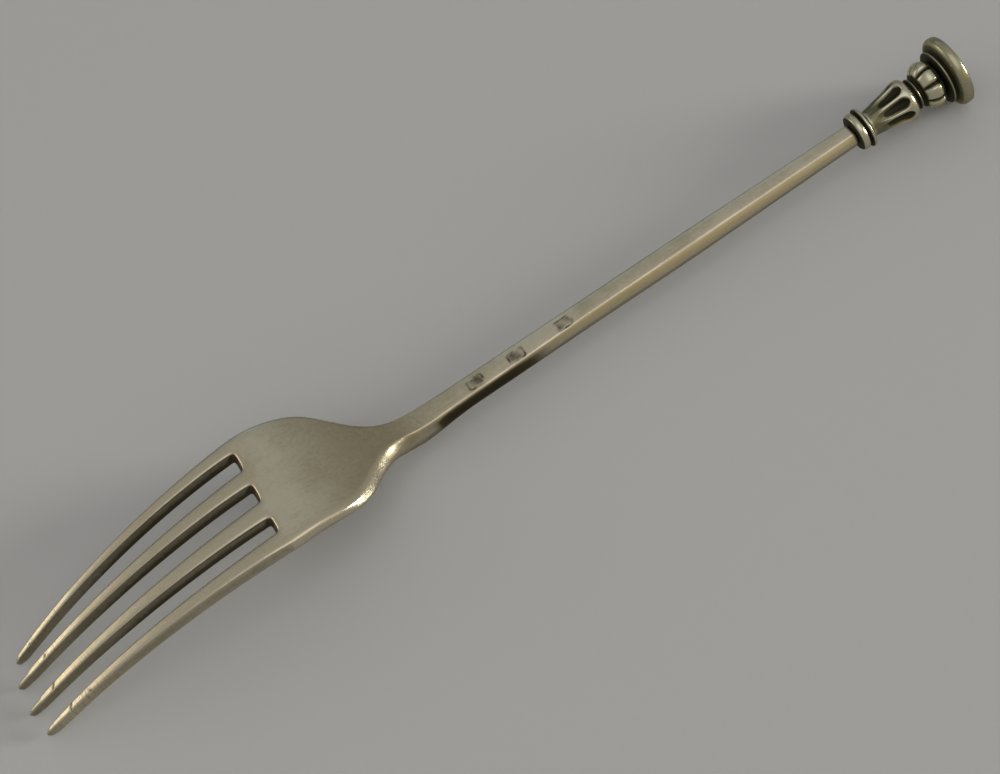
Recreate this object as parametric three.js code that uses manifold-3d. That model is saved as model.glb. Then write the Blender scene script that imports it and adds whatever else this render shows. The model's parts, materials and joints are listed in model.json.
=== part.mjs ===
// A silver fork with four tines, a six-sided stem and a seal-top finial.
// The tines, palm and stem are one forging. Collar, cast baluster and seal disc are soldered to its end.
// The forging's round tenon runs through the collar into the baluster, whose spigot enters the seal.
// Millimetres. X runs from the tine tips to the seal, Y across the blade, Z towards the back of the fork.
import * as THREE from 'three';
import { mergeVertices } from 'three/addons/utils/BufferGeometryUtils.js';
import Module from 'manifold-3d';

const wasm = await Module();
wasm.setup();
const { clamp, lerp, smoothstep } = THREE.MathUtils;

// Tines
const tineCount = 4;
const tineLength = 47.2;          // slot roots to the tips of the middle tines
const tipSetback = 1.4;           // the outer tips stop this far short of the middle ones
const rootPitch = 6.62;           // between tine centres at the slot roots
const tipPitch = 4.8;             // between tine centres at the tips
const tineSweep = 1.25;           // above 1, the tines leave the palm straight and draw together later
const tipLean = [0.1, 0.6, 1.1, 0]; // used tines lean towards +Y at their tips, counted from -Y
const leanSweep = 3;              // above 1, the lean stays near the tips
const tineRootWidth = 3.4;
const tineTipWidth = 1.75;
const tineThinning = 0.75;        // below 1, the tines lose most of their width near the palm
const tineTipThickness = 1.7;
const tineEdgeRounding = 0.5;
const tipRounding = 2.2;          // length of the rounded point
const tineBendRadius = 109;       // the tines bend down from the palm on this arc
const slotCornerRadius = 0.7;     // fillets in the corners of the slots
const tineTongue = 3;             // the tines are drawn out of the palm from this far inside it
const tongueTaper = 0.85;         // the tongue's inner end against its root
const tineCover = 0.06;           // the palm stands this far proud of the tongues

// Palm and shoulders
const palmThickness = 2.5;
const palmLength = 9.7;           // slot roots to the start of the shoulders
const palmNarrowing = 1.2;        // half width lost between the slot roots and the shoulders
const bladeSideInset = 0.4;       // the flats of the palm and tines stop this far short of their sides
const bladeEdgeRounding = 0.35;
const slotEndRounding = 0.35;
const shoulderLength = 14;        // the shoulders sweep in to the stem over this length
const nearFullness = 0.8;         // the shoulder on the -Y side stands out this much more
const fullnessPlace = 6;          // from the start of the shoulders to the fullest line
const fullnessReach = 2.8;
const crestBehindRoots = 1.7;     // highest line of the palm, from the slot roots
const crestHeight = 7.45;         // palm above the stem's axis
const crestToStem = 25.5;         // the palm bends down to the stem over this length

// Stem, thickest in its middle
const neckLength = 9.5;           // the neck takes its six sides over this length
const neckSwelling = 1.1;         // added under the neck, where the fork bends most
const stemLength = 71.5;          // the six-sided length
const stemSwellPlace = 40;        // from the neck to the thickest section
const stemNeck = { width: 5.3, height: 2.85, inset: 0.75 };
const stemSwell = { width: 4.95, height: 3.4, inset: 1.0 };
const stemEnd = { width: 4.1, height: 2.95, inset: 0.86 };
const stemEdgeRounding = 0.5;
const tenonRadius = 1.2;
const tenonLength = 7.4;

// Finial joints
const solderGap = 0.1;
const socketSpare = 0.4;          // a socket is this much deeper than its tenon

// Collar: a wide bead and a thin ring with a groove between them
const beadLength = 1.6;
const beadRadius = 3.1;
const ringLength = 0.7;
const ringRadius = 3.3;
const collarGrooveRadius = 2.6;
const collarFaceRadius = 2.4;

// Baluster: a fluted flare, a ringed waist and a gadrooned knop
const lobeCount = 8;
const flareLength = 8;
const flareFootRadius = 2.05;
const flareMiddleRadius = 2.8;
const flareRimRadius = 3.45;
const flareRimRounding = 0.9;
const fluteDepth = 0.55;
const waistLength = 1.4;
const waistRadius = 2.25;
const waistRingRadius = 2.6;
const knopLength = 3.5;
const knopRise = 2.4;             // from the waist to the knop's widest line
const knopRadius = 3.95;
const knopTopRadius = 2.75;
const gadroonDepth = 0.55;
const lobeFullness = 0.6;         // below 1, flutes and gadroons run deep nearly to their ends
const spigotRadius = 1.3;
const spigotLength = 1.5;

// Seal: a disc that steps out under a rounded rim
const sealRadius = 5.8;
const sealRimLength = 1.7;
const sealRimRounding = 0.45;
const sealStepLength = 0.65;      // length of each of the two steps under the rim
const sealFootRadius = 3.2;
const sealStepRadius = 4.5;

// Facets
const sidesPerTurn = 40;
const sidesPerLobe = 8;
const curvePoints = 5;
const cornerPoints = 2;
const cornerShare = 0.45;         // the most of a flat that its worn corner may take
const mergeDistance = 1e-3;
const filletStations = 4;
const tineStations = 15;
const bladeStations = 30;

// Places along the fork
const rootX = tineLength;
const crestX = rootX + crestBehindRoots;
const shoulderX = rootX + palmLength;
const shoulderEndX = shoulderX + shoulderLength;
const stemX = shoulderEndX + neckLength;
const stemSwellX = stemX + stemSwellPlace;
const stemEndX = stemX + stemLength;
const collarX = stemEndX + solderGap;
const collarLength = beadLength + ringLength;
const balusterX = collarX + collarLength + solderGap;
const balusterLength = flareLength + waistLength + knopLength;
const sealX = balusterX + balusterLength + solderGap;
const sealLength = 2 * sealStepLength + sealRimLength;
const outerPlace = (tineCount - 1) / 2;
const innerPlace = outerPlace % 1;
const bladeHalfWidth = outerPlace * rootPitch + tineRootWidth / 2 + tineCover;

// Extra thickness under the neck, from the shoulders to the stem.
function neckDepth(x) {
  const along = clamp((x - shoulderX) / (stemX - shoulderX), 0, 1);
  return neckSwelling * Math.sin(Math.PI * along) ** 2;
}

// Height of the blade's middle surface: the tines on an arc, then a smooth fall to the stem's axis.
function middleHeight(x) {
  if (x < crestX) {
    return crestHeight - tineBendRadius + Math.sqrt(tineBendRadius ** 2 - (crestX - x) ** 2);
  }
  return crestHeight * (1 - smoothstep(x, crestX, crestX + crestToStem)) - neckDepth(x) / 2;
}

function middleSlope(x) {
  const reach = 0.01;
  return Math.atan2(middleHeight(x + reach) - middleHeight(x - reach), 2 * reach);
}

// A six-cornered section square to the middle surface, flat above and below, with worn corners.
function sectionRing(x, y, { width, height, inset, rounding }) {
  const flat = width / 2 - inset;
  const corners = [
    [flat, height / 2], [-flat, height / 2], [-width / 2, 0],
    [-flat, -height / 2], [flat, -height / 2], [width / 2, 0],
  ].map(([across, up]) => new THREE.Vector2(across, up));
  const slope = middleSlope(x);
  const outline = corners.flatMap((corner, i) => {
    const before = corners.at(i - 1);
    const after = corners[(i + 1) % corners.length];
    const towards = (other) => {
      const share = Math.min(rounding / corner.distanceTo(other), cornerShare);
      return corner.clone().lerp(other, share);
    };
    return new THREE.QuadraticBezierCurve(towards(before), corner, towards(after)).getPoints(cornerPoints);
  });
  return outline.map((p) => new THREE.Vector3(
    x - p.y * Math.sin(slope),
    y + p.x,
    middleHeight(x) + p.y * Math.cos(slope),
  ));
}

// A closed skin over rings with equal numbers of points, fanned shut at both ends.
function loft(rings) {
  const count = rings[0].length;
  const vertices = rings.flat();
  const index = [];
  for (let r = 0; r + 1 < rings.length; r += 1) {
    for (let i = 0; i < count; i += 1) {
      const a = r * count + i;
      const b = r * count + (i + 1) % count;
      index.push(a, b, a + count, b, b + count, a + count);
    }
  }
  const last = (rings.length - 1) * count;
  const middleOf = (ring) => ring.reduce((sum, p) => sum.add(p), new THREE.Vector3()).divideScalar(count);
  vertices.push(middleOf(rings[0]), middleOf(rings.at(-1)));
  for (let i = 0; i < count; i += 1) {
    const next = (i + 1) % count;
    index.push(vertices.length - 2, next, i);
    index.push(vertices.length - 1, last + i, last + next);
  }
  const geometry = new THREE.BufferGeometry().setFromPoints(vertices);
  geometry.setIndex(index);
  return geometry;
}

function toSolid(geometry) {
  const bare = geometry.clone();
  bare.deleteAttribute('normal');
  bare.deleteAttribute('uv');
  const merged = mergeVertices(bare, mergeDistance);
  return new wasm.Manifold(new wasm.Mesh({
    numProp: 3,
    vertProperties: new Float32Array(merged.attributes.position.array),
    triVerts: new Uint32Array(merged.index.array),
  }));
}

function fromSolid(solid) {
  const mesh = solid.getMesh();
  const geometry = new THREE.BufferGeometry();
  geometry.setAttribute('position', new THREE.BufferAttribute(mesh.vertProperties, 3));
  geometry.setIndex(new THREE.BufferAttribute(mesh.triVerts, 1));
  return geometry;
}

// One tine, from its rounded point to its tongue inside the palm.
// Its place counts tines from the middle of the fork.
function tine(place) {
  const tipX = tipSetback * (Math.abs(place) - innerPlace) / Math.max(outerPlace - innerPlace, 1);
  const length = rootX - tipX;
  const ringAt = (x, shrink) => {
    const out = Math.max((rootX - x) / length, 0);
    const intoFillet = clamp(slotCornerRadius - (rootX - x), 0, slotCornerRadius);
    const fillet = x > rootX ? 0 : slotCornerRadius - Math.sqrt(slotCornerRadius ** 2 - intoFillet ** 2);
    const leftFillet = place < outerPlace ? fillet : 0;
    const rightFillet = place > -outerPlace ? fillet : 0;
    const lean = (tipLean[place + outerPlace] ?? 0) * out ** leanSweep;
    const middle = place * lerp(rootPitch, tipPitch, out ** tineSweep) + lean;
    const width = lerp(tineRootWidth, tineTipWidth, out ** tineThinning);
    return sectionRing(x, middle + (leftFillet - rightFillet) / 2, {
      width: shrink * width + leftFillet + rightFillet,
      height: shrink * lerp(palmThickness - 2 * tineCover, tineTipThickness, out),
      inset: shrink * bladeSideInset,
      rounding: shrink * tineEdgeRounding,
    });
  };
  const rings = [];
  const pointX = tipX + tipRounding;
  for (let i = 1; i <= filletStations; i += 1) {
    const turn = Math.PI / 2 * i / filletStations;
    rings.push(ringAt(pointX - tipRounding * Math.cos(turn), Math.sin(turn)));
  }
  const filletX = rootX - slotCornerRadius;
  for (let i = 1; i <= tineStations; i += 1) {
    rings.push(ringAt(lerp(pointX, filletX, i / tineStations), 1));
  }
  for (let i = 1; i <= filletStations; i += 1) {
    const turn = Math.PI / 2 * i / filletStations;
    rings.push(ringAt(filletX + slotCornerRadius * Math.sin(turn), 1));
  }
  rings.push(ringAt(rootX + tineTongue, tongueTaper));
  return loft(rings);
}

// Palm, shoulders, neck, stem and tenon.
function palmAndStem() {
  const bladeSection = (x) => {
    const toNeck = smoothstep(x, shoulderX, shoulderEndX);
    const toStem = smoothstep(x, shoulderX, stemX);
    const palmWidth = 2 * (bladeHalfWidth - palmNarrowing * ((x - rootX) / palmLength) ** 2);
    return {
      width: lerp(palmWidth, stemNeck.width, toNeck),
      height: lerp(palmThickness, stemNeck.height, toStem) + neckDepth(x),
      inset: lerp(bladeSideInset, stemNeck.inset, toStem),
      rounding: lerp(bladeEdgeRounding, stemEdgeRounding, toStem),
    };
  };
  const filled = (ring, x, { width }) => ring.map((p) => {
    const bulge = Math.exp(-(((x - shoulderX - fullnessPlace) / fullnessReach) ** 2));
    const share = Math.max(-2 * p.y / width, 0);
    return p.setY(p.y - nearFullness * bulge * share ** 2);
  });
  const front = bladeSection(rootX);
  front.width -= slotEndRounding;
  front.height -= slotEndRounding;
  const rings = [sectionRing(rootX, 0, front)];
  for (let i = 0; i <= bladeStations; i += 1) {
    const x = lerp(rootX + slotEndRounding, stemX, i / bladeStations);
    const section = bladeSection(x);
    rings.push(filled(sectionRing(x, 0, section), x, section));
  }
  rings.push(sectionRing(stemSwellX, 0, { ...stemSwell, rounding: stemEdgeRounding }));
  rings.push(sectionRing(stemEndX, 0, { ...stemEnd, rounding: stemEdgeRounding }));
  const tenonRing = (x) => rings.at(-1).map((p) => {
    const turn = Math.atan2(p.z, p.y);
    return new THREE.Vector3(x, tenonRadius * Math.cos(turn), tenonRadius * Math.sin(turn));
  });
  rings.push(tenonRing(stemEndX), tenonRing(stemEndX + tenonLength));
  return loft(rings);
}

function forging() {
  let solid = toSolid(palmAndStem());
  for (let i = 0; i < tineCount; i += 1) {
    solid = solid.add(toSolid(tine(i - outerPlace)));
  }
  return fromSolid(solid);
}

// Turns a profile of (radius, place along the axis) about X, starting at x.
// The trim, if given, changes the radius by place and angle.
function turned(profile, x, sides, trim) {
  const geometry = new THREE.LatheGeometry(profile, sides);
  const position = geometry.attributes.position;
  for (let i = 0; trim && i < position.count; i += 1) {
    const across = new THREE.Vector2(position.getX(i), position.getZ(i));
    if (across.length() > 0) across.setLength(trim(across.length(), position.getY(i), across.angle()));
    position.setX(i, across.x);
    position.setZ(i, across.y);
  }
  geometry.rotateZ(-Math.PI / 2);
  geometry.translate(x, 0, 0);
  return geometry;
}

// A rounded moulding from the path's last point to (radius, along), with its widest ring at peak.
function moulding(path, peak, radius, along) {
  const start = path.currentPoint.clone();
  const reach = (4 * peak - (start.x + radius) / 2) / 3;
  path.bezierCurveTo(reach, start.y, reach, along, radius, along);
}

function collar() {
  const bore = tenonRadius + solderGap;
  const path = new THREE.Path();
  path.moveTo(bore, 0);
  path.lineTo(collarFaceRadius, 0);
  moulding(path, beadRadius, collarGrooveRadius, beadLength);
  moulding(path, ringRadius, collarFaceRadius, collarLength);
  path.lineTo(bore, collarLength);
  path.closePath();
  return turned(path.getPoints(curvePoints), collarX, sidesPerTurn);
}

function baluster() {
  const socketRadius = tenonRadius + solderGap;
  const socketDepth = tenonLength - collarLength - 2 * solderGap + socketSpare;
  const rimStart = flareLength - flareRimRounding;
  const waistEnd = flareLength + waistLength;
  const flareReach = 2 * flareMiddleRadius - (flareFootRadius + flareRimRadius) / 2;
  const path = new THREE.Path();
  path.moveTo(0, socketDepth);
  path.lineTo(socketRadius, socketDepth);
  path.lineTo(socketRadius, 0);
  path.lineTo(flareFootRadius, 0);
  path.quadraticCurveTo(flareReach, rimStart / 2, flareRimRadius, rimStart);
  path.quadraticCurveTo(flareRimRadius, flareLength, waistRadius, flareLength);
  moulding(path, waistRingRadius, waistRadius, waistEnd);
  path.quadraticCurveTo(knopRadius, waistEnd, knopRadius, waistEnd + knopRise);
  path.quadraticCurveTo(knopRadius, balusterLength, knopTopRadius, balusterLength);
  path.lineTo(spigotRadius, balusterLength);
  path.lineTo(spigotRadius, balusterLength + spigotLength);
  path.lineTo(0, balusterLength + spigotLength);
  const hump = (along, start, length) => {
    const share = clamp((along - start) / length, 0, 1);
    return Math.sin(Math.PI * share) ** lobeFullness;
  };
  const innerRadius = Math.max(socketRadius, spigotRadius) + solderGap / 2;
  const trim = (radius, along, angle) => {
    if (radius < innerRadius) return radius;
    const ridge = Math.abs(Math.sin(lobeCount / 2 * angle));
    const flute = fluteDepth * hump(along, 0, flareLength) * (1 - ridge ** 2);
    const gadroon = gadroonDepth * hump(along, waistEnd, knopLength) * (1 - ridge);
    return radius - flute - gadroon;
  };
  return turned(path.getPoints(curvePoints), balusterX, lobeCount * sidesPerLobe, trim);
}

function seal() {
  const socketRadius = spigotRadius + solderGap;
  const socketDepth = spigotLength - solderGap + socketSpare;
  const rimStart = 2 * sealStepLength;
  const path = new THREE.Path();
  path.moveTo(0, socketDepth);
  path.lineTo(socketRadius, socketDepth);
  path.lineTo(socketRadius, 0);
  path.lineTo(sealFootRadius, 0);
  path.quadraticCurveTo(sealFootRadius, sealStepLength, sealStepRadius, sealStepLength);
  path.lineTo(sealStepRadius, rimStart);
  path.lineTo(sealRadius - sealRimRounding, rimStart);
  path.quadraticCurveTo(sealRadius, rimStart, sealRadius, rimStart + sealRimRounding);
  path.lineTo(sealRadius, sealLength - sealRimRounding);
  path.quadraticCurveTo(sealRadius, sealLength, sealRadius - sealRimRounding, sealLength);
  path.lineTo(0, sealLength);
  return turned(path.getPoints(curvePoints), sealX, sidesPerTurn);
}

function piece(name, geometry, colour, roughness) {
  const material = new THREE.MeshStandardMaterial({ color: colour, roughness, metalness: 1 });
  const mesh = new THREE.Mesh(geometry, material);
  mesh.name = name;
  return mesh;
}

const fork = new THREE.Group();
fork.add(
  piece('tines_and_stem', forging(), 0xb7b09a, 0.32),
  piece('stem_collar', collar(), 0xa49c7e, 0.34),
  piece('fluted_baluster', baluster(), 0x968e70, 0.38),
  piece('seal_disc', seal(), 0x9d9577, 0.34),
);

// The fork lies back up, on the tips of its middle tines and the rim of its seal.
const tipDrop = -middleHeight(0) + tineTipThickness / 4;
fork.rotation.y = Math.atan2(tipDrop - sealRadius, sealX + sealLength);
const part = new THREE.Group();
part.add(fork);
const box = new THREE.Box3().setFromObject(part, true);
const middle = box.getCenter(new THREE.Vector3());
fork.position.set(-middle.x, 0, -box.min.z);

export default part;
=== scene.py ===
import bpy
import bmesh
import json
import math
import numpy as np
from mathutils import Matrix, Vector


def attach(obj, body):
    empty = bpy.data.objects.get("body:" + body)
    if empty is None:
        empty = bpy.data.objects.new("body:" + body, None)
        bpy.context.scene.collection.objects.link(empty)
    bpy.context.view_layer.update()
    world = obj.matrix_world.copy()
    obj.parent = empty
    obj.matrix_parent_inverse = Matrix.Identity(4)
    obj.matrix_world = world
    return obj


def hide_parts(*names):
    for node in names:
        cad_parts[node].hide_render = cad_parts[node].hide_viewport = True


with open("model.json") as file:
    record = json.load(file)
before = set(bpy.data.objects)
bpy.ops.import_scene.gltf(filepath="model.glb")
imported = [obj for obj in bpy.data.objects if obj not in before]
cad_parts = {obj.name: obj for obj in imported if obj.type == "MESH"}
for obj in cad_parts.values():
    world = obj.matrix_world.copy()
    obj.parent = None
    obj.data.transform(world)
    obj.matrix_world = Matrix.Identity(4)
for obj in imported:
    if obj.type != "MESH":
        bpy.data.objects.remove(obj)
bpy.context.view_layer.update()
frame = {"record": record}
bpy.ops.object.select_all(action="DESELECT")

mm = 0.001
tolerance = 0.001 * mm

# the fork lies a little nose down, so it is modelled level from the tips back and set in place at the end
sealMount = next(mount for mount in frame["record"]["mounts"] if mount["name"] == "seal_face")
sealAxis = Vector(sealMount["axis"])
tilt = math.atan2(sealAxis.z, sealAxis.x)
forkLength = 170.4 * mm
placing = Matrix.Translation(Vector(sealMount["pos_m"]))
placing = placing @ Matrix.Rotation(-tilt, 4, "Y") @ Matrix.Translation((-forkLength, 0, 0))


def smoothstep(value, start, end):
    share = min(max((value - start) / (end - start), 0), 1)
    return share * share * (3 - 2 * share)


def lerp(start, end, share):
    return start + (end - start) * share


def hump(value, middle, reach):
    return math.exp(-((value - middle) / reach) ** 2)


def same(first, second):
    return abs(first - second) < tolerance


def editing(piece, mode="VERT"):
    bpy.context.view_layer.objects.active = piece
    bpy.ops.object.mode_set(mode="EDIT")
    bpy.ops.mesh.select_mode(type=mode)


def pick(piece, mode, test):
    bpy.ops.mesh.select_mode(type=mode)
    bpy.ops.mesh.select_all(action="DESELECT")
    mesh = bmesh.from_edit_mesh(piece.data)
    parts = {"VERT": mesh.verts, "EDGE": mesh.edges, "FACE": mesh.faces}[mode]
    for part in parts:
        if test(part):
            part.select_set(True)
    mesh.select_flush_mode()
    bmesh.update_edit_mesh(piece.data)


def edgeMiddle(edge):
    return (edge.verts[0].co + edge.verts[1].co) / 2


def addModifier(piece, kind, **settings):
    modifier = piece.modifiers.new(kind.title(), kind)
    for name, value in settings.items():
        setattr(modifier, name, value)
    bpy.ops.object.modifier_apply(modifier=modifier.name)


def newPiece(name):
    piece = bpy.context.active_object
    piece.name = name
    piece.data.name = name
    return piece


def pointsAndNormals(mesh):
    points = np.empty(len(mesh.vertices) * 3)
    normals = np.empty(len(mesh.vertices) * 3)
    mesh.vertices.foreach_get("co", points)
    mesh.vertices.foreach_get("normal", normals)
    return points.reshape(-1, 3), normals.reshape(-1, 3)


def storeValues(mesh, name, values):
    store = mesh.attributes.new(name, "FLOAT", "POINT")
    store.data.foreach_set("value", np.asarray(values, dtype=np.float32))


# how far each point lies under or over its smoothed surroundings, for the patina and painted shade in the
# hollows and for the edges, where wear, painted shade and painted highlight go
def storeRelief(piece, rounds, depth):
    mesh = piece.data
    count = len(mesh.vertices)
    points, normals = pointsAndNormals(mesh)
    ends = np.empty(len(mesh.edges) * 2, dtype=np.int64)
    mesh.edges.foreach_get("vertices", ends)
    ends = ends.reshape(-1, 2)
    valence = np.bincount(ends.ravel(), minlength=count)[:, None]
    soft = points.copy()
    for turn in range(rounds):
        total = np.zeros_like(soft)
        for axis in range(3):
            total[:, axis] = np.bincount(ends[:, 0], soft[ends[:, 1], axis], count)
            total[:, axis] += np.bincount(ends[:, 1], soft[ends[:, 0], axis], count)
        soft = soft * 0.4 + total / valence * 0.6
    relief = ((soft - points) * normals).sum(axis=1) / depth
    storeValues(mesh, "relief", np.clip(relief, -1, 1))


def setInPlace(piece, node):
    bpy.ops.object.select_all(action="DESELECT")
    piece.select_set(True)
    bpy.context.view_layer.objects.active = piece
    piece.matrix_world = placing
    bpy.ops.object.transform_apply(location=True, rotation=True, scale=True)
    bpy.ops.object.shade_smooth()
    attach(piece, "root")
    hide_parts(node)


# forging: palm, four tines and stem, all drawn out of one block
forging = {
    "blockLength": 2 * mm,
    "tineLength": 47.2 * mm,
    "tipSetback": 1.4 * mm,
    "rootPitch": 6.62 * mm,
    "tipPitch": 4.8 * mm,
    "tineSweep": 1.25,
    "tipLean": (0.1 * mm, 0.6 * mm, 1.1 * mm, 0),
    "leanSweep": 3,
    "tineRootWidth": 3.4 * mm,
    "tineCover": 0.06 * mm,
    "tineGain": (0.35 * mm, 0.6 * mm, 0.3 * mm, -0.05 * mm),
    "tineShift": (0.13 * mm, -0.2 * mm, 0, 0.03 * mm),
    "tineTipWidth": 1.75 * mm,
    "tineThinning": 0.75,
    "tipNarrowing": 0.7,
    "tipTaper": 5 * mm,
    "tipEnd": (0.5, 0.55),
    "tineRootThickness": 2.55 * mm,
    "tineTipThickness": 1.7 * mm,
    "tineBelly": 0.25 * mm,
    "tineEdge": 0.3 * mm,
    "tineRounding": 0.06 * mm,
    "bendRadius": 111 * mm,
    "palmThickness": 2.35 * mm,
    "crestThickness": 2.8 * mm,
    "thickening": (3 * mm, 12 * mm),
    "shoulderFullness": 1.9 * mm,
    "fullnessPlace": 5.2 * mm,
    "fullnessReach": 4 * mm,
    "palmLength": 9.7 * mm,
    "palmNarrowing": 1.2 * mm,
    "palmEdge": 0.4 * mm,
    "shoulderLength": 14 * mm,
    "crestBehindRoots": 1.7 * mm,
    "crestHeight": 7.3 * mm,
    "crestToStem": 25.5 * mm,
    "neckLength": 9.5 * mm,
    "neckSwelling": 1.1 * mm,
    "neckBevel": 1.3 * mm,
    "bevelPlace": 6.5 * mm,
    "bevelReach": 4.7 * mm,
    "stemLength": 71.5 * mm,
    "swellPlace": 40 * mm,
    "stemNeck": (5.3 * mm, 2.85 * mm, 0.75 * mm),
    "stemSwell": (4.95 * mm, 3.4 * mm, 1.0 * mm),
    "stemEnd": (4.1 * mm, 2.95 * mm, 0.86 * mm),
    "stemCrown": 0.15 * mm,
    "nearSlimming": 0.33 * mm,
    "slimFrom": (74 * mm, 79 * mm),
    "slimTo": (104 * mm, 122 * mm),
    "slotFillet": 1.7 * mm,
    "slotSlope": (-0.6 * mm, -0.15 * mm, 0.3 * mm),
    "slotCrispness": 0.35,
    "sharpAngle": 38,
    "crispness": (
        (2.4 * mm, 62 * mm, 0.34),
        (62 * mm, 76 * mm, 0.25),
        (76 * mm, 100 * mm, 0.1),
    ),
}
tinePlaces = (-1.5, -0.5, 0.5, 1.5)
rootX = forging["tineLength"]
crestX = rootX + forging["crestBehindRoots"]
shoulderX = rootX + forging["palmLength"]
shoulderEndX = shoulderX + forging["shoulderLength"]
stemX = shoulderEndX + forging["neckLength"]
swellX = stemX + forging["swellPlace"]
stemEndX = stemX + forging["stemLength"]
bladeHalf = tinePlaces[3] * forging["rootPitch"] + forging["tineRootWidth"] / 2 + forging["tineCover"]


def neckDepth(x):
    share = min(max((x - shoulderX) / (stemX - shoulderX), 0), 1)
    return forging["neckSwelling"] * math.sin(math.pi * share) ** 2


def middleHeight(x):
    radius = forging["bendRadius"]
    if x < crestX:
        return forging["crestHeight"] - radius + math.sqrt(radius ** 2 - (crestX - x) ** 2)
    fall = 1 - smoothstep(x, crestX, crestX + forging["crestToStem"])
    return forging["crestHeight"] * fall - neckDepth(x) / 2


def stemSize(x):
    if x <= swellX:
        share = max((x - stemX) / (swellX - stemX), 0)
        return [lerp(a, b, share) for a, b in zip(forging["stemNeck"], forging["stemSwell"])]
    share = (x - swellX) / (stemEndX - swellX)
    return [lerp(a, b, share) for a, b in zip(forging["stemSwell"], forging["stemEnd"])]


def neckThickness(x):
    return lerp(forging["crestThickness"], stemSize(x)[1], smoothstep(x, shoulderX, stemX)) + neckDepth(x)


def topHeight(x):
    out = max((rootX - x) / rootX, 0)
    return middleHeight(x) + lerp(neckThickness(x), forging["tineTipThickness"], out) / 2


def slopeAt(x):
    step = 0.05 * mm
    return math.atan2(topHeight(x + step) - topHeight(x - step), 2 * step)


# a section is its middle, the width of its flat, its full width at the ridge, its height and its slope
def section(x, y, full, inset, height):
    return {"middle": Vector((x, y, topHeight(x) - height / 2)), "flat": full - 2 * inset, "full": full,
            "height": height, "slope": slopeAt(x)}


def bodySection(x):
    along = (x - rootX) / forging["palmLength"]
    palmWidth = 2 * (bladeHalf - forging["palmNarrowing"] * along ** 2)
    stem = stemSize(x)
    width = lerp(palmWidth, stem[0], smoothstep(x, shoulderX, shoulderEndX))
    inset = lerp(forging["palmEdge"], stem[2], smoothstep(x, shoulderX, stemX))
    inset += forging["neckBevel"] * hump(x, shoulderX + forging["bevelPlace"], forging["bevelReach"])
    thickening = smoothstep(x - shoulderX, *forging["thickening"])
    return section(x, 0, width, inset, lerp(forging["palmThickness"], neckThickness(x), thickening))


def tipOf(number):
    return forging["tipSetback"] if number in (0, 3) else 0


def tineSection(number, x):
    out = (rootX - x) / (rootX - tipOf(number))
    pitch = lerp(forging["rootPitch"], forging["tipPitch"], out ** forging["tineSweep"])
    y = tinePlaces[number] * pitch + forging["tipLean"][number] * out ** forging["leanSweep"]
    y += forging["tineShift"][number] * (1 - out ** 2)
    width = lerp(forging["tineRootWidth"], forging["tineTipWidth"], out ** forging["tineThinning"])
    width += forging["tineGain"][number] * (1 - out ** 2)
    height = lerp(forging["tineRootThickness"], forging["tineTipThickness"], out)
    height += forging["tineBelly"] * math.sin(math.pi * min(max(out, 0), 1))
    inset = forging["tineEdge"] + forging["tineRounding"] * smoothstep(out, 0, 0.15)
    return section(x, y, width, inset, height)


# where the sections lie
def tineStations(tip):
    stations = [rootX - forging["slotFillet"]]
    stations += [rootX - share * (rootX - tip) for share in (0.11, 0.22, 0.33, 0.44, 0.55, 0.66)]
    stations += [tip + step * mm for step in (13, 11, 9.5, 8.4, 7.4, 6.4, 5.4, 4.2, 3, 2, 1, 0.15)]
    return stations


bladeSteps = (4.5, 7.2, 9.7, 11.7, 13.7, 15.7, 17.7, 19.7, 21.7, 23.7, 26, 29, 33.2)
bodyStations = [rootX + step * mm for step in bladeSteps]
bodyStations += [stemX + step * mm for step in range(1, 24)]
bodyStations += [stemX + step * mm for step in (28, 34, 40, 46, 52, 58, 64, 68, 71.2, 71.5)]


# draws the picked end on to the next section: out, wider or narrower, then turned to the slope
def drawOut(last, ring):
    bpy.ops.mesh.extrude_region_move(TRANSFORM_OT_translate={"value": ring["middle"] - last["middle"]})
    tall = ring["height"] / last["height"]
    wide = ring["flat"] / last["flat"]
    bpy.ops.transform.resize(value=(tall, wide, tall), center_override=ring["middle"])
    turn = ring["slope"] - last["slope"]
    bpy.ops.transform.rotate(value=turn, orient_axis="Y", center_override=ring["middle"])


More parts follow.
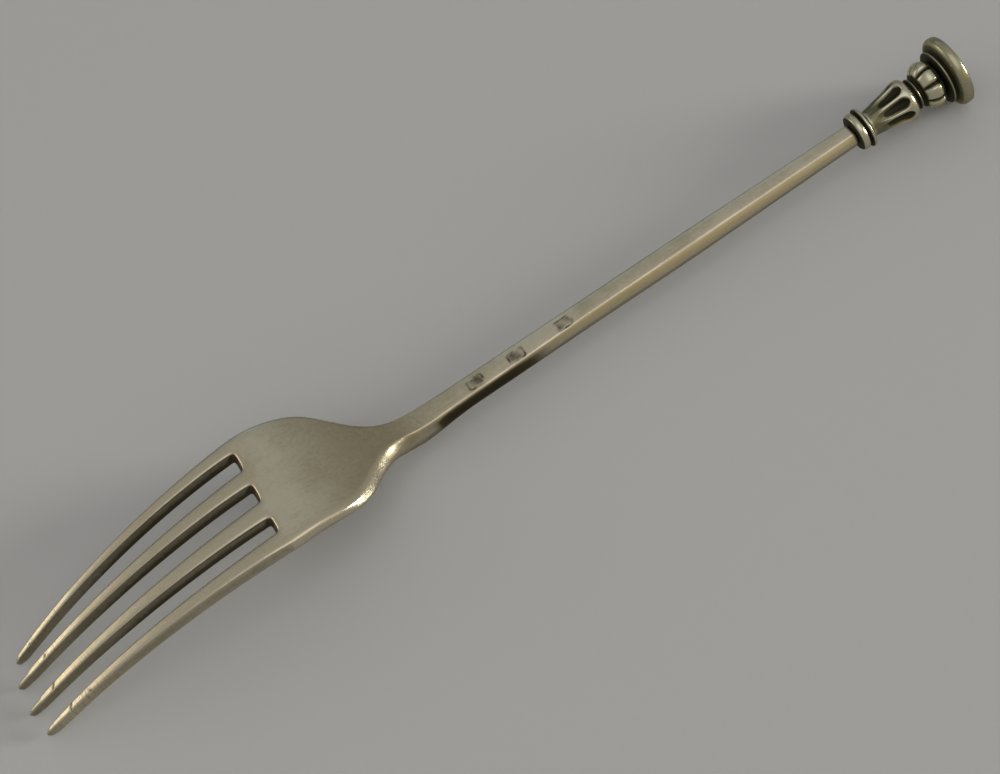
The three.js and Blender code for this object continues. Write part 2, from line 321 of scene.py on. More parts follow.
def forgeBody():
    first = bodySection(rootX)
    blockEnd = rootX + forging["blockLength"]
    blockMiddle = (rootX + forging["blockLength"] / 2, 0, first["middle"].z)
    bpy.ops.mesh.primitive_cube_add(size=1, location=blockMiddle)
    piece = newPiece("fork_forging")
    piece.scale = (forging["blockLength"], first["flat"], first["height"])
    bpy.ops.object.transform_apply(location=True, rotation=True, scale=True)
    editing(piece)
    edges = []
    for number in range(4):
        ring = tineSection(number, rootX)
        edges.append(ring["middle"].y - ring["flat"] / 2)
        edges.append(ring["middle"].y + ring["flat"] / 2)
    for y in edges[1:-1]:
        bpy.ops.mesh.select_all(action="SELECT")
        bpy.ops.mesh.bisect(plane_co=(0, y, 0), plane_no=(0, 1, 0), threshold=1e-7)
    bpy.ops.mesh.select_all(action="SELECT")
    bpy.ops.mesh.bisect(plane_co=(0, 0, first["middle"].z), plane_no=(0, 0, 1), threshold=1e-7)

    # tines
    for number in range(4):
        last = tineSection(number, rootX)
        low = last["middle"].y - last["full"] / 2
        high = last["middle"].y + last["full"] / 2
        pick(piece, "FACE", lambda face: face.normal.x < -0.9
             and same(face.calc_center_median().x, rootX)
             and low < face.calc_center_median().y < high)
        last["height"] = first["height"]
        last["slope"] = 0
        tip = tipOf(number)
        for x in tineStations(tip):
            ring = tineSection(number, x)
            ring["flat"] *= lerp(forging["tipNarrowing"], 1, smoothstep(x, tip, tip + forging["tipTaper"]))
            if x < tip + 0.2 * mm:
                ring["flat"] *= forging["tipEnd"][0]
                ring["height"] *= forging["tipEnd"][1]
            drawOut(last, ring)
            last = ring

    # palm, shoulders, neck and stem
    pick(piece, "FACE", lambda face: face.normal.x > 0.9
         and face.calc_center_median().x > blockEnd - 0.1 * mm)
    last = dict(first)
    last["middle"] = Vector((blockEnd, 0, first["middle"].z))
    last["slope"] = 0
    for x in bodyStations:
        ring = bodySection(x)
        drawOut(last, ring)
        last = ring

    # ridge at half height down each side
    for x in [blockEnd] + bodyStations:
        ring = bodySection(x)
        drawn = ring if x > blockEnd else first
        level = drawn["middle"].z
        side = drawn["flat"] / 2
        pick(piece, "VERT", lambda vert: same(vert.co.x, x) and same(vert.co.z, level)
             and same(abs(vert.co.y), side))
        bpy.ops.transform.resize(value=(1, ring["full"] / ring["flat"], 1), center_override=(x, 0, level))
    for number in range(4):
        for x in [rootX] + tineStations(tipOf(number)):
            ring = tineSection(number, x)
            middle = ring["middle"]
            pick(piece, "VERT", lambda vert: same(vert.co.x, x) and same(vert.co.z, middle.z)
                 and abs(vert.co.y - middle.y) < ring["flat"] / 2 + tolerance)
            bpy.ops.transform.resize(value=(1, ring["full"] / ring["flat"], 1), center_override=middle)

    # the slots end in a filed slope, the stem is slightly crowned; on the near side the shoulder is fuller
    # and the stem behind the neck slimmer
    mesh = bmesh.from_edit_mesh(piece.data)
    for vert in mesh.verts:
        x, y, z = vert.co
        if same(x, rootX) and abs(y) < bladeHalf - 1 * mm:
            level = round((z - first["middle"].z) / (first["height"] / 2))
            vert.co.x += forging["slotSlope"][level + 1]
        if x > rootX + 1 * mm:
            ring = bodySection(x)
            if z > ring["middle"].z + 0.3 * ring["height"]:
                crown = forging["stemCrown"] * smoothstep(x, shoulderEndX, stemX)
                vert.co.z -= crown * (2 * y / ring["flat"]) ** 2
            if y < 0:
                bulge = hump(x, shoulderX + forging["fullnessPlace"], forging["fullnessReach"])
                slim = smoothstep(x, *forging["slimFrom"]) * (1 - smoothstep(x, *forging["slimTo"]))
                shift = forging["nearSlimming"] * slim - forging["shoulderFullness"] * bulge
                vert.co.y += shift * (2 * y / ring["full"]) ** 2
    bmesh.update_edit_mesh(piece.data)

    # edges of palm and tines stay crisp, those of neck and stem are worn softer, and the tips softest
    sharpAngle = math.radians(forging["sharpAngle"])

    def isSharp(edge, start, end):
        direction = (edge.verts[0].co - edge.verts[1].co).normalized()
        inside = start < edgeMiddle(edge).x < end
        return inside and abs(direction.z) < 0.7 and edge.calc_face_angle(0) > sharpAngle

    for start, end, value in forging["crispness"]:
        pick(piece, "EDGE", lambda edge: isSharp(edge, start, end))
        bpy.ops.transform.edge_crease(value=value)
    pick(piece, "EDGE", lambda edge: abs(edgeMiddle(edge).x - rootX) < 0.9 * mm
         and abs(edge.verts[0].co.y - edge.verts[1].co.y) < 0.5 * mm
         and abs(edge.verts[0].co.z - edge.verts[1].co.z) > 0.5 * mm)
    bpy.ops.transform.edge_crease(value=forging["slotCrispness"])
    bpy.ops.object.mode_set(mode="OBJECT")
    addModifier(piece, "SUBSURF", levels=3, render_levels=3)
    return piece


# blank, rubbed punches on the stem and old nicks across the tines; what is pressed in also holds dirt
def strike(piece, punches, nicks):
    mesh = piece.data
    points, normals = pointsAndNormals(mesh)
    upward = np.clip(normals[:, 2] * 2 - 0.6, 0, 1)
    stain = np.zeros(len(points))
    drop = np.zeros(len(points))
    for x, y, phase in punches:
        along = (points[:, 0] - x) / mm
        across = (points[:, 1] - y) / mm
        outX = np.abs(along) - punch["halfLength"] + punch["corner"]
        outY = np.abs(across) - punch["halfWidth"] + punch["corner"]
        away = np.hypot(np.maximum(outX, 0), np.maximum(outY, 0)) + np.minimum(np.maximum(outX, outY), 0)
        away -= punch["corner"]
        around = np.arctan2(across, along)
        rubbed = 0.55 + 0.4 * np.sin(2 * around + phase) + 0.25 * np.sin(5 * around + 2 * phase)
        outline = np.exp(-(away / punch["line"]) ** 2) * np.clip(rubbed, 0, 1)
        inside = np.clip(-away / 0.3, 0, 1) * (0.5 + 0.3 * np.sin(2.1 * along + 1.3 * across + phase))
        pressed = np.maximum(outline, inside) * upward
        stain = np.maximum(stain, pressed)
        drop = np.maximum(drop, pressed * punch["depth"])
    for x, y, reach, slant in nicks:
        across = (points[:, 1] - y) / mm
        away = (points[:, 0] - x) / mm - slant * across
        ends = np.clip((reach - np.abs(across)) * 4, 0, 1)
        pressed = np.exp(-(away / nick["line"]) ** 2) * ends * upward
        stain = np.maximum(stain, pressed)
        drop = np.maximum(drop, pressed * nick["depth"])
    points[:, 2] -= drop
    # the near side of the neck keeps faint flats of the hammer
    along = points[:, 0] / mm
    start, end = hammer["reach"]
    flats = np.clip((along - start) / hammer["fade"], 0, 1) * np.clip((end - along) / hammer["fade"], 0, 1)
    flats *= points[:, 1] < -hammer["beside"]
    swell = hammer["height"] * flats * np.cos(2 * math.pi * (along - hammer["first"]) / hammer["spacing"])
    points += normals * (swell * np.clip(-normals[:, 1] * 2, 0, 1))[:, None]
    mesh.vertices.foreach_set("co", points.ravel())
    mesh.update()
    storeValues(mesh, "stain", stain)


# where each tone of the patina, the painted shade and the painted reflection lies along the fork
patinaAndShade = {
    "slots": (6 * mm, 30 * mm),
    "slotDepth": (0.5 * mm, 2 * mm),
    "slotEnd": 1.9 * mm,
    "slotEndDepth": (0.7 * mm, 1.6 * mm),
    "sides": (62 * mm, 74 * mm),
    "underside": (66 * mm, 76 * mm),
    "bandFrom": (72.5 * mm, 77.5 * mm),
    "bandTo": (87 * mm, 101 * mm),
    "bandDepth": (-0.1 * mm, 0.85 * mm),
    "bandShade": 1.6,
    "tan": (92 * mm, 106 * mm),
}


# walls darkened, the slots most, then the sides of the stem behind the neck: tarnish and painted shade on the
# slot walls, painted shade deep in the slot ends, a painted dark reflection in a band on the stem's near
# side, painted shade on the stem's sides and the facets that face down, and a painted warm reflection on the
# stem's sides further back
def storeWalls(piece):
    shades = []
    reds = []
    tans = []
    for vert in piece.data.vertices:
        x, y, z = vert.co
        side = smoothstep(abs(vert.normal.y), 0.35, 0.85)
        red = 0
        tan = 0
        # slot walls: tarnish and painted shade, darker deeper down and further from the tips, lighter on the
        # outer walls
        if x < rootX + 0.8 * mm:
            outer = abs(y) > tineSection(3, min(max(x, 2 * mm), rootX))["middle"].y + 0.2 * mm
            depth = topHeight(x) - z
            inner = 0.8 + 0.5 * smoothstep(depth, *patinaAndShade["slotDepth"])
            inner = lerp(0.65, inner, smoothstep(x, *patinaAndShade["slots"]))
            shade = side * (0.4 if outer else inner)
            # slot ends: painted shade in the deep part, reddish patina with a painted highlight in the upper
            # part
            if x > rootX - patinaAndShade["slotEnd"]:
                end = smoothstep(-vert.normal.x, 0.25, 0.55)
                deep = smoothstep(depth, *patinaAndShade["slotEndDepth"])
                shade = max(shade, end * deep)
                red = end * (1 - deep)
        else:
            # painted dark reflection: a band on the stem's near side behind the neck, darker lower down
            behindNeck = smoothstep(x, *patinaAndShade["bandFrom"]) * (1 - smoothstep(x, *patinaAndShade["bandTo"]))
            behindNeck *= smoothstep(topHeight(x) - z, *patinaAndShade["bandDepth"])
            # painted shade on the stem's sides from the neck on, stronger on the facets that face down
            under = smoothstep(-vert.normal.z, -0.3, 0.15) * smoothstep(x, *patinaAndShade["underside"])
            shade = max(side * (0.3 + 0.6 * behindNeck) * smoothstep(x, *patinaAndShade["sides"]), 0.75 * under)
            # the painted dark reflection turns near black on the side facing the near side
            nearSide = smoothstep(-vert.normal.y, 0.45, 0.75)
            shade = max(shade, patinaAndShade["bandShade"] * behindNeck * nearSide)
            # painted warm reflection on the stem's sides further back, weaker on the facets that face down
            tan = side * smoothstep(x, *patinaAndShade["tan"]) * (1 - 0.45 * under)
        shades.append(shade)
        reds.append(red)
        tans.append(tan)
    storeValues(piece.data, "wall", shades)
    storeValues(piece.data, "red", reds)
    storeValues(piece.data, "tan", tans)


punch = {"halfLength": 1.3, "halfWidth": 0.9, "corner": 0.45, "line": 0.2, "depth": 0.12 * mm}
nick = {"line": 0.16, "depth": 0.14 * mm}
hammer = {
    "height": 0.025 * mm, "first": 62.4, "spacing": 3.2, "reach": (58, 75), "fade": 3, "beside": 1.5 * mm,
}
punches = [(83.3 * mm, -0.1 * mm, 0.4), (90.6 * mm, -0.25 * mm, 2.3), (99.2 * mm, -0.2 * mm, 4.4)]
nicks = [
    (7.25 * mm, -7.6 * mm, 0.75, 0.5), (6.0 * mm, -2.15 * mm, 0.7, 0.6), (6.75 * mm, 3.2 * mm, 0.4, 0.5),
    (11.3 * mm, -8.2 * mm, 0.35, -0.4), (13.6 * mm, 7.0 * mm, 0.4, 0.7), (5.2 * mm, 7.1 * mm, 0.3, 0.3),
]
forkBody = forgeBody()
strike(forkBody, punches, nicks)
storeWalls(forkBody)
storeRelief(forkBody, 40, 0.12 * mm)
setInPlace(forkBody, "tines_and_stem")
print("forging done", len(forkBody.data.vertices))


def onRing(edge, ring):
    x, radius = ring
    return all(same(vert.co.x, x) and same(math.hypot(vert.co.y, vert.co.z), radius) for vert in edge.verts)


# turned and cast pieces grow ring by ring along the axis
def turnPiece(name, rings, sides, creases):
    x, radius = rings[0]
    bpy.ops.mesh.primitive_circle_add(vertices=sides, radius=radius, fill_type="NOTHING",
                                      location=(x, 0, 0), rotation=(0, math.pi / 2, 0))
    piece = newPiece(name)
    bpy.ops.object.transform_apply(location=True, rotation=True, scale=True)
    editing(piece, "EDGE")
    bpy.ops.mesh.select_all(action="SELECT")
    for (lastX, lastRadius), (x, radius) in zip(rings, rings[1:]):
        bpy.ops.mesh.extrude_region_move(TRANSFORM_OT_translate={"value": (x - lastX, 0, 0)})
        share = radius / lastRadius
        bpy.ops.transform.resize(value=(1, share, share), center_override=(x, 0, 0))
    bpy.ops.mesh.select_all(action="SELECT")
    bpy.ops.mesh.normals_make_consistent(inside=False)
    for place, value in creases:
        pick(piece, "EDGE", lambda edge: onRing(edge, rings[place]))
        bpy.ops.transform.edge_crease(value=value)
    return piece


def closeEnds(piece, rings):
    for ring in (rings[0], rings[-1]):
        pick(piece, "EDGE", lambda edge: onRing(edge, ring))
        bpy.ops.mesh.edge_face_add()
        bpy.ops.mesh.inset(thickness=ring[1] * 0.5)
        bpy.ops.mesh.merge(type="CENTER")
    bpy.ops.mesh.select_all(action="SELECT")
    bpy.ops.mesh.normals_make_consistent(inside=False)


collar = {
    "start": 152.0 * mm,
    "face": 2.4 * mm,
    "bead": 3.1 * mm,
    "beadLength": 1.6 * mm,
    "groove": 2.6 * mm,
    "ring": 3.3 * mm,
    "ringLength": 0.7 * mm,
    "core": 1.35 * mm,
}


def turnCollar():
    start = collar["start"]
    end = start + collar["beadLength"] + collar["ringLength"]
    groove = start + collar["beadLength"]
    rings = [
        (start, collar["core"]),
        (start, collar["face"]),
        (start + 0.12 * mm, collar["face"] + 0.45 * mm),
        (start + 0.45 * mm, collar["bead"] - 0.06 * mm),
        (start + 0.8 * mm, collar["bead"]),
        (groove - 0.4 * mm, collar["bead"] - 0.1 * mm),
        (groove - 0.1 * mm, collar["groove"] + 0.12 * mm),
        (groove, collar["groove"]),
        (groove + 0.06 * mm, collar["ring"] - 0.12 * mm),
        (groove + 0.2 * mm, collar["ring"]),
        (end - 0.2 * mm, collar["ring"]),
        (end - 0.03 * mm, collar["ring"] - 0.15 * mm),
        (end, collar["face"]),
        (end, collar["core"]),
    ]
    piece = turnPiece("collar_ring", rings, 40, [(1, 0.6), (12, 0.6)])
    closeEnds(piece, rings)
    bpy.ops.object.mode_set(mode="OBJECT")
    addModifier(piece, "SUBSURF", levels=2, render_levels=2)
    return piece


collarRing = turnCollar()
storeRelief(collarRing, 40, 0.07 * mm)
setInPlace(collarRing, "stem_collar")
print("collar done")

baluster = {
    "start": 154.4 * mm,
    "lobes": 8,
    "core": 0.8 * mm,
    "foot": 2.05 * mm,
    "middle": 2.55 * mm,
    "rim": 3.45 * mm,
    "flareLength": 8.0 * mm,
    "fluteDepth": 0.85 * mm,
    "fluteStart": 0.6 * mm,
    "fluteSpread": 4 * mm,
    "fluteEnd": 6.9 * mm,
    "fluteRound": 1.3 * mm,
    "fluteWidth": 0.43,
    "fluteFoot": 0.7,
    "waist": 2.25 * mm,
    "waistRing": 2.6 * mm,
    "waistLength": 1.4 * mm,
    "knop": 3.95 * mm,
    "knopTop": 2.75 * mm,
    "knopLength": 3.5 * mm,
    "grooveScale": 0.81,
    "grooveReach": (0.1 * mm, 3.2 * mm),
    "turn": 22.5,
}


def castBaluster():
    start = baluster["start"]
    waistX = start + baluster["flareLength"]
    knopX = waistX + baluster["waistLength"]
    end = knopX + baluster["knopLength"]
    rings = [
        (start, baluster["core"]),
        (start, baluster["foot"]),
        (start + 0.4 * mm, baluster["foot"] + 0.03 * mm),
        (start + 1.5 * mm, baluster["foot"] + 0.2 * mm),
        (start + 3.0 * mm, baluster["foot"] + 0.52 * mm),
        (start + 4.4 * mm, baluster["middle"] + 0.36 * mm),
        (start + 5.7 * mm, baluster["rim"] - 0.22 * mm),
        (start + 6.6 * mm, baluster["rim"] - 0.03 * mm),
        (start + 7.2 * mm, baluster["rim"]),
        (start + 7.65 * mm, baluster["rim"] - 0.16 * mm),
        (waistX, baluster["rim"] - 0.6 * mm),
        (waistX + 0.1 * mm, baluster["waist"]),
        (waistX + 0.35 * mm, baluster["waist"]),
        (waistX + 0.5 * mm, baluster["waistRing"]),
        (waistX + 0.9 * mm, baluster["waistRing"]),
        (waistX + 1.05 * mm, baluster["waist"]),
        (knopX, baluster["waist"]),
        (knopX + 0.25 * mm, baluster["waist"] + 0.75 * mm),
        (knopX + 0.9 * mm, baluster["knop"] - 0.35 * mm),
        (knopX + 1.6 * mm, baluster["knop"]),
        (knopX + 2.4 * mm, baluster["knop"] - 0.02 * mm),
        (knopX + 3.05 * mm, baluster["knop"] - 0.4 * mm),
        (end, baluster["knopTop"]),
        (end, baluster["core"]),
    ]
    lobes = baluster["lobes"]
    piece = turnPiece("finial_baluster", rings, lobes * 6, [(1, 0.5), (11, 0.4), (16, 0.5), (22, 0.5)])
    closeEnds(piece, rings)

    def column(point):
        turned = math.degrees(math.atan2(point.z, point.y)) - baluster["turn"]
        return turned % (360 / lobes) / (360 / lobes)

    # grooves between the lobes of the knop
    def isGroove(vert):
        share = column(vert.co)
        low, high = baluster["grooveReach"]
        inside = low < vert.co.x - knopX < high
        return inside and abs(share - 0.5) < 0.05

    pick(piece, "VERT", isGroove)
    scale = baluster["grooveScale"]
    bpy.ops.transform.resize(value=(1, scale, scale), center_override=(knopX, 0, 0))
    bpy.ops.object.mode_set(mode="OBJECT")
    addModifier(piece, "SUBSURF", levels=2, render_levels=2)

    # each flute is a scoop with a round end near the rim, narrower and shallower toward the foot
    fluteStart = start + baluster["fluteStart"]
    fluteEnd = start + baluster["fluteEnd"]
    endLength = baluster["fluteRound"]
    editing(piece)
    mesh = bmesh.from_edit_mesh(piece.data)
    for vert in mesh.verts:
        x = vert.co.x
        if fluteStart < x < fluteEnd:
            roundness = math.sqrt(1 - max((x - fluteEnd + endLength) / endLength, 0) ** 2)
            wide = baluster["fluteWidth"] * roundness
            wide *= lerp(baluster["fluteFoot"], 1, smoothstep(x, start, start + baluster["fluteSpread"]))
            side = min(abs(column(vert.co) - 0.5) / max(wide, 0.001), 1)
            depth = baluster["fluteDepth"] * smoothstep(x, fluteStart, fluteEnd - endLength) * roundness
            share = 1 - depth * (1 - side ** 2) / math.hypot(vert.co.y, vert.co.z)
            vert.co.y *= share
            vert.co.z *= share
    bmesh.update_edit_mesh(piece.data)
    bpy.ops.object.mode_set(mode="OBJECT")
    addModifier(piece, "SUBSURF", levels=1, render_levels=1)
    return piece


finialBaluster = castBaluster()
storeRelief(finialBaluster, 120, 0.1 * mm)
setInPlace(finialBaluster, "fluted_baluster")
print("baluster done", len(finialBaluster.data.vertices))

seal = {
    "start": 167.4 * mm,
    "core": 0.8 * mm,
    "faceCore": 1.2 * mm,
    "foot": 3.2 * mm,
    "step": 4.5 * mm,
    "stepLength": 0.65 * mm,
    "rim": 5.8 * mm,
    "rimLength": 1.7 * mm,
}


def turnSeal():
    start = seal["start"]
    end = forkLength
    rimX = end - seal["rimLength"]
    rings = [
        (start, seal["core"]),
        (start, seal["foot"]),
        (start + 0.1 * mm, seal["step"] - 0.2 * mm),
        (start + 0.3 * mm, seal["step"]),
        (start + 0.55 * mm, seal["step"] - 0.1 * mm),
        (start + seal["stepLength"], seal["step"] - 0.35 * mm),
        (start + seal["stepLength"] + 0.2 * mm, seal["step"] - 0.3 * mm),
        (rimX - 0.15 * mm, seal["step"] + 0.4 * mm),
        (rimX + 0.1 * mm, seal["rim"] - 0.3 * mm),
        (rimX + 0.45 * mm, seal["rim"]),
        (end - 0.45 * mm, seal["rim"]),
        (end - 0.08 * mm, seal["rim"] - 0.14 * mm),
        (end, seal["rim"] - 0.5 * mm),
        (end, seal["rim"] - 1.3 * mm),
        (end, seal["faceCore"]),
    ]
    piece = turnPiece("finial_seal", rings, 48, [(1, 0.5), (12, 0.3)])
    closeEnds(piece, rings)
    bpy.ops.object.mode_set(mode="OBJECT")
    addModifier(piece, "SUBSURF", levels=2, render_levels=2)
    return piece


finialSeal = turnSeal()
storeRelief(finialSeal, 40, 0.1 * mm)
setInPlace(finialSeal, "seal_disc")
print("seal done")


# a node socket that takes part in Python sums
class Wire:
    def __init__(self, finish, socket):
        self.finish = finish
        self.socket = socket

    def maths(self, operation, first, second):
        return self.finish.node("ShaderNodeMath", {"operation": operation}, {0: first, 1: second})

    def __add__(self, other):
        return self.maths("ADD", self, other)

    def __radd__(self, other):
        return self.maths("ADD", other, self)

    def __sub__(self, other):
        return self.maths("SUBTRACT", self, other)

    def __rsub__(self, other):
        return self.maths("SUBTRACT", other, self)

    def __mul__(self, other):
        return self.maths("MULTIPLY", self, other)

    def __rmul__(self, other):
        return self.maths("MULTIPLY", other, self)

    def __neg__(self):
        return self.maths("MULTIPLY", self, -1)

    def __abs__(self):
        return self.maths("ABSOLUTE", self, 0)

    def least(self, other):
        return self.maths("MINIMUM", self, other)

    def most(self, other):
        return self.maths("MAXIMUM", self, other)

    def ramp(self, start, end, low=0, high=1):
        settings = {"interpolation_type": "SMOOTHSTEP"}
        return self.finish.node("ShaderNodeMapRange", settings, {0: self, 1: start, 2: end, 3: low, 4: high})


class Finish:
    def __init__(self, tree):
        self.tree = tree

    def node(self, kind, settings, inputs, output=0):
        node = self.tree.nodes.new(kind)
        for name, value in settings.items():
            setattr(node, name, value)
        for name, value in inputs.items():
            self.join(value, node.inputs[name])
        return Wire(self, node.outputs[output])

    def join(self, value, socket):
        if isinstance(value, Wire):
            self.tree.links.new(value.socket, socket)
        else:
            socket.default_value = value

    def mix(self, share, first, second):
        settings = {"data_type": "RGBA"}
        return self.node("ShaderNodeMix", settings, {0: share, 6: first, 7: second}, 2)

    def noise(self, place, scale, detail, rough):
        inputs = {"Vector": place, "Scale": scale, "Detail": detail, "Roughness": rough}
        return self.node("ShaderNodeTexNoise", {}, inputs)

    def attribute(self, name):
        return self.node("ShaderNodeAttribute", {"attribute_name": name}, {}, "Fac")

    def stretched(self, place, scale, turn=0):
        return self.node("ShaderNodeMapping", {}, {"Vector": place, "Scale": scale, "Rotation": (0, 0, turn)})


def silver(name, tone):
    material = bpy.data.materials.new(name)
    material.use_nodes = True
    finish = Finish(material.node_tree)
    shader = material.node_tree.nodes["Principled BSDF"]
    # millimetres along the fork from the tips
    whole = finish.node("ShaderNodeTexCoord", {}, {}, "Object")
    back = placing.inverted()
    place = finish.node("ShaderNodeMapping", {}, {
        "Vector": whole, "Location": back.to_translation() / mm, "Rotation": back.to_euler(),
        "Scale": (1 / mm, 1 / mm, 1 / mm)})
    along = finish.node("ShaderNodeSeparateXYZ", {}, {"Vector": place})
    relief = finish.attribute("relief")
    wall = finish.attribute("wall")
    red = finish.attribute("red")
    tan = finish.attribute("tan")
    neck = along.ramp(50, 66) * along.ramp(68, 79, 1, 0)
    tips = along.ramp(3, 7, 0.4, 1) * along.ramp(9, 18, 1, 0) * (1 - wall.least(1))
    stain = finish.attribute("stain")

    clouds = finish.noise(place, 0.11, 4, 0.6)
    grain = finish.noise(place, 1.6, 5, 0.6)
    fine = finish.noise(place, 7.0, 3, 0.6)
    drawn = finish.noise(finish.stretched(place, (0.25, 3.0, 3.0)), 1.0, 4, 0.55)

    def scratch(scale, turn, width):
        lines = finish.noise(finish.stretched(place, scale, turn), 1.0, 2, 0.5)
        return abs(lines - 0.5).ramp(0, width, 1, 0)

    lengthwise = scratch((0.12, 2.4, 2.4), 0.12, 0.012)
    slanting = scratch((0.2, 1.9, 1.9), -0.5, 0.01)
    scratches = lengthwise.most(slanting * 0.7)
    rubbed = finish.noise(finish.stretched(place, (3.4, 0.55, 0.55), 0.6), 1.0, 4, 0.65)
    marks = stain * (0.45 + grain)
    # darker rings at the given places along the axis, at the joints and grooves
    darkRings = 0
    for x, reach in tone["darkRings"]:
        darkRings = abs(along - x).ramp(reach * 0.4, reach, 1, 0).most(darkRings)

    # darker hollows: tarnish, and on the finial pieces, with their short range and near-black tone, also
    # painted shade
    hollowTarnishAndShade = (relief + (grain - 0.5) * 0.35).ramp(tone["hollowFrom"], tone["hollowTo"])
    hollowTarnishAndShade = hollowTarnishAndShade.most(darkRings * (0.65 + grain * 0.5)).least(1)
    # edge tone on convex edges: on the forging darker, a painted shade; on the finial pieces brighter, worn
    # silver and a painted highlight
    edge = (-relief + (grain - 0.5) * 0.3).ramp(0.25, 0.9) * (1 - wall.least(1)) * (1 - darkRings)
    tarnish = (clouds * 0.6 + grain * 0.25 + drawn * 0.25).ramp(tone["tarnishFrom"], tone["tarnishTo"])
    tarnish = (tarnish + hollowTarnishAndShade * 0.6).least(1)

    colour = finish.mix(tarnish, tone["clean"], tone["dull"])
    colour = finish.mix(neck * (0.6 + grain * 0.5), colour, tone["brown"])
    # rubbed tips: worn metal lightened to gold as a painted highlight, with brown between
    colour = finish.mix(tips * rubbed.ramp(0.38, 0.5), colour, tone["gold"])
    colour = finish.mix(tips * rubbed.ramp(0.33, 0.43, 0.85, 0), colour, tone["brown"])
    colour = finish.mix(scratches * 0.25, colour, tone["clean"])
    # wall tone: tarnish and painted shade on the slot walls, painted shade and a painted dark reflection on
    # the stem's sides; above 1 it turns near black
    colour = finish.mix((wall * (0.7 + grain * 0.4)).least(1), colour, tone["shade"])
    # painted warm reflection on the stem's sides
    colour = finish.mix(tan * (0.5 + grain * 0.4), colour, tone["tan"])
    colour = finish.mix((wall - 1).most(0).least(0.6) * 1.5, colour, tone["dark"])
    # reddish patina with a painted highlight on the upper slot ends
    colour = finish.mix(red * (0.5 + grain * 0.7), colour, tone["red"])
    colour = finish.mix((hollowTarnishAndShade * 0.9).most(marks).least(1), colour, tone["dark"])
    # edge tone: painted shade on the forging, wear and painted highlight on the finial pieces
    colour = finish.mix(edge * 0.6, colour, tone["worn"])
    finish.join(colour, shader.inputs["Base Color"])
    rough = tone["rough"] + (drawn - 0.5) * 0.16 + tarnish * 0.08 + hollowTarnishAndShade * 0.18 - edge * 0.07
    finish.join(rough, shader.inputs["Roughness"])
    finish.join(1 - hollowTarnishAndShade * 0.45, shader.inputs["Metallic"])
    height = drawn * 0.5 + fine * 0.22 + grain * 0.5 - scratches * 0.35 + tips * rubbed * 1.5
    inputs = {"Strength": tone["bump"], "Distance": 0.02 * mm, "Height": height}
    bump = finish.node("ShaderNodeBump", {}, inputs, "Normal")
    finish.join(bump, shader.inputs["Normal"])
    shader.inputs["Specular Tint"].default_value = tone["glance"]
    return material


forgedTone = {
    "clean": (0.72, 0.66, 0.52, 1),
    "dull": (0.52, 0.46, 0.33, 1),
    "brown": (0.36, 0.31, 0.2, 1),
    # gold: worn tips with a painted highlight
    "gold": (1.0, 0.88, 0.62, 1),
    "glance": (0.7, 0.66, 0.58, 1),
    "shade": (0.09, 0.078, 0.048, 1),
    # red: reddish patina with a painted highlight
    "red": (0.62, 0.43, 0.31, 1),
    # tan: the painted warm reflection on the stem's sides
    "tan": (0.57, 0.5, 0.32, 1),
    "dark": (0.05, 0.04, 0.025, 1),
    "hollowFrom": 0.12,
    "hollowTo": 0.75,
    "darkRings": ((151.9, 0.6),),
    # edge tone, darker than the clean silver: a painted shade along the edges
    "worn": (0.6, 0.55, 0.42, 1),
    "tarnishFrom": 0.42,
    "tarnishTo": 0.72,
    "rough": 0.3,
    "bump": 0.35,
}
# darker copy of the silver for the finial pieces: tarnish and painted shade; its brighter edge tone is worn
# silver and a painted highlight
castTone = dict(
    forgedTone,
    clean=(0.26, 0.25, 0.16, 1),
    dull=(0.115, 0.11, 0.06, 1),
    dark=(0.008, 0.008, 0.003, 1),
    worn=(0.85, 0.81, 0.62, 1),
    rough=0.28,
    bump=0.16,
    tarnishFrom=0.36,
    hollowFrom=0,
    hollowTo=0.22,
    darkRings=((154.4, 0.4), (162.8, 0.5), (163.8, 0.4), (167.2, 0.5)),
)
turnedTone = dict(
    castTone,
    clean=(0.27, 0.255, 0.17, 1),
    rough=0.3,
    darkRings=((152.0, 0.3), (153.6, 0.3), (154.3, 0.25)),
)
sealTone = dict(
    castTone,
    clean=(0.2, 0.195, 0.115, 1),
    dull=(0.1, 0.096, 0.05, 1),
    worn=(0.6, 0.57, 0.4, 1),
    darkRings=((167.4, 0.35), (168.15, 0.4)),
)
forkBody.data.materials.append(silver("forged_silver", forgedTone))
collarRing.data.materials.append(silver("turned_silver", turnedTone))
finialBaluster.data.materials.append(silver("cast_silver", castTone))
finialSeal.data.materials.append(silver("seal_silver", sealTone))
print("finishes done")

# floor
bpy.ops.object.select_all(action="DESELECT")
bpy.ops.mesh.primitive_plane_add(size=6, location=(0, 0, 0))
floor = newPiece("floor")
floorMaterial = bpy.data.materials.new("floor_paper")
floorMaterial.use_nodes = True
floorShader = floorMaterial.node_tree.nodes["Principled BSDF"]
floorShader.inputs["Base Color"].default_value = (0.5, 0.503, 0.515, 1)
floorShader.inputs["Roughness"].default_value = 0.9
floorShader.inputs["Specular IOR Level"].default_value = 0.1
floor.data.materials.append(floorMaterial)

# soft room: even light, darker beyond the fork, warm from the near side, and a low window on the right
world = bpy.data.worlds.new("studio")
bpy.context.scene.world = world
world.use_nodes = True
sky = Finish(world.node_tree)
background = world.node_tree.nodes["Background"]
heading = sky.node("ShaderNodeTexCoord", {}, {}, "Generated")


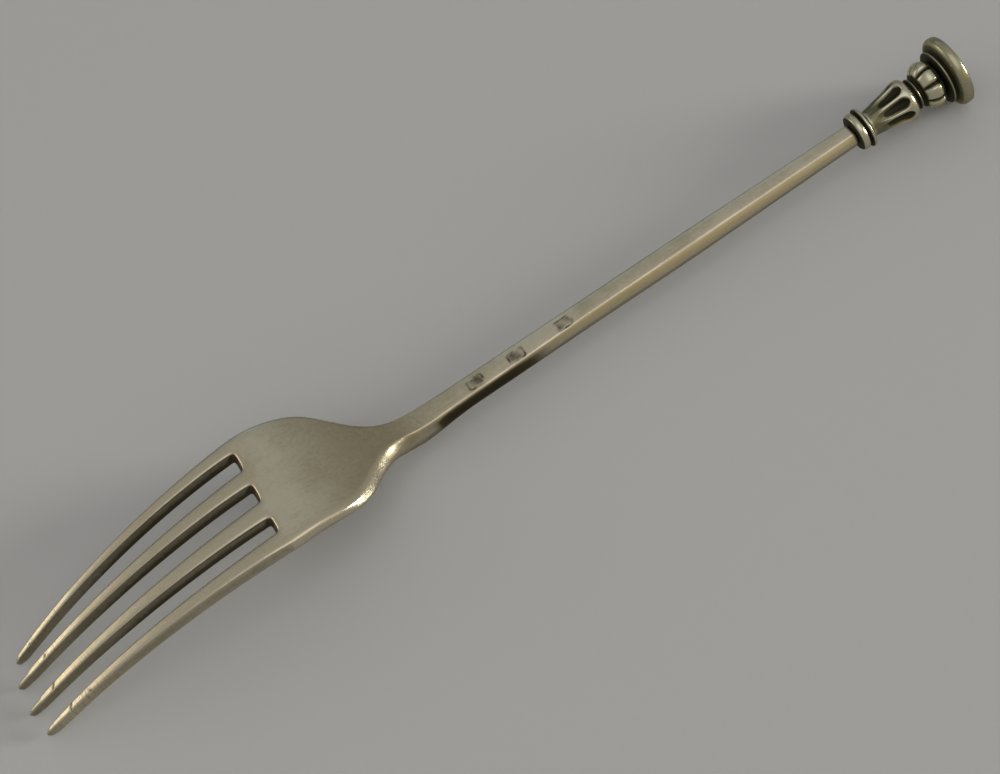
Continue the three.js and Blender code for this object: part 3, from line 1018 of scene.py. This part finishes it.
def toward(direction, inner, outer):
    share = sky.node("ShaderNodeVectorMath", {"operation": "DOT_PRODUCT"},
                     {0: heading, 1: Vector(direction).normalized()}, "Value")
    return share.ramp(math.cos(math.radians(outer)), math.cos(math.radians(inner)))


# direction, inner and outer angle, colour
glows = [
    ((0, -0.45, 1), 15, 60, (0.48, 0.47, 0.455, 1)),
    ((-0.72, 0.6, 0.33), 6, 19, (1.55, 1.42, 1.2, 1)),
    ((0.15, 1, 0.12), 15, 50, (0.19, 0.205, 0.21, 1)),
    ((0.15, 0.84, 0.5), 5, 18, (0.42, 0.49, 0.505, 1)),
    ((0.1, -1, 0.1), 16, 40, (0.43, 0.35, 0.2, 1)),
    ((0.36, -0.88, 0.3), 4, 12, (0.68, 0.64, 0.5, 1)),
    ((0.84, -0.5, 0.22), 7, 11, (23, 22.3, 20.2, 1)),
]
skyColour = (0.4, 0.39, 0.36, 1)
for direction, inner, outer, colour in glows:
    skyColour = sky.mix(toward(direction, inner, outer), skyColour, colour)
sky.join(skyColour, background.inputs["Color"])
background.inputs["Strength"].default_value = 1.0

overhead = {
    "direction": (0.05, -0.4, 0.92),
    "distance": 0.8,
    "size": 0.8,
    "power": 0.78,
    "colour": (1, 0.98, 0.96),
}
lamp = bpy.data.lights.new("overhead", "AREA")
lamp.shape = "DISK"
lamp.size = overhead["size"]
lamp.energy = overhead["power"]
lamp.color = overhead["colour"]
lampObject = bpy.data.objects.new("overhead", lamp)
bpy.context.scene.collection.objects.link(lampObject)
lampPlace = Vector(overhead["direction"]).normalized() * overhead["distance"]
lampObject.location = lampPlace
lampObject.rotation_euler = (-lampPlace).to_track_quat("-Z", "Y").to_euler()

# camera at the photo's view
cameraData = bpy.data.cameras.new("camera")
cameraData.sensor_width = 36
cameraData.lens = 72.0026
camera = bpy.data.objects.new("camera", cameraData)
bpy.context.scene.collection.objects.link(camera)
bpy.context.scene.camera = camera
camera.location = (-0.012729, -0.182595, 0.24483)
camera.rotation_euler = (0.577347, 0.30759, -0.509405)
bpy.context.scene.view_settings.view_transform = "Standard"
